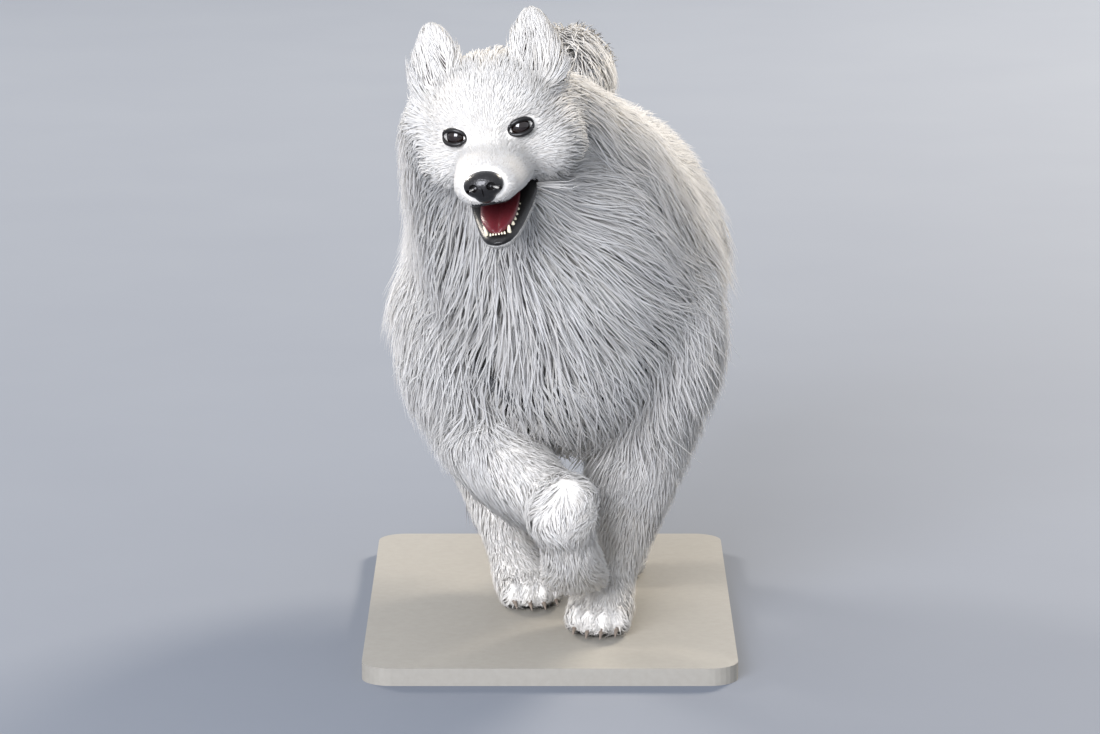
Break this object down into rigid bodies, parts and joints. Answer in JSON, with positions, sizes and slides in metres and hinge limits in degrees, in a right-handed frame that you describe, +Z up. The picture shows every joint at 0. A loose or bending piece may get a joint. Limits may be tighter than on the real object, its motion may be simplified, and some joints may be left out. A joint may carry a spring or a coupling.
{
  "type": "samoyed dog model",
  "caption": "Life-size still model of a samoyed dog at a gallop, mouth open and tail over its back, standing on a plain flat base.",
  "frame": {"origin": "middle of the base's flat underside", "axes": "+Z up, the dog faces -Y and its left side is +X"},
  "size_m": [0.3817, 0.9379, 0.6878],
  "materials": {
    "coat": "long white fur, matt",
    "eye": "wet and glossy, near black brown",
    "nose": "black, moist, finely pebbled",
    "tongue": "dark pink, moist",
    "collar": "dark woven webbing",
    "stand": "plain matt painted board"
  },
  "bodies": {
    "root": {"stand_base": "stand", "eye_left": "eye", "eye_right": "eye", "nose": "nose", "head": "coat", "ear_left": "coat", "ear_right": "coat", "tongue": "tongue", "jaw": "coat", "collar": "collar", "neck": "coat", "torso": "coat", "rump": "coat", "upper_foreleg_right": "coat", "forearm_right": "coat", "forepaw_right": "coat", "upper_foreleg_left": "coat", "forearm_left": "coat", "forepaw_left": "coat", "thigh_right": "coat", "shank_right": "coat", "hind_paw_right": "coat", "thigh_left": "coat", "shank_left": "coat", "hind_paw_left": "coat", "tail_root": "coat", "tail_plume": "coat"}
  },
  "joints": []
}
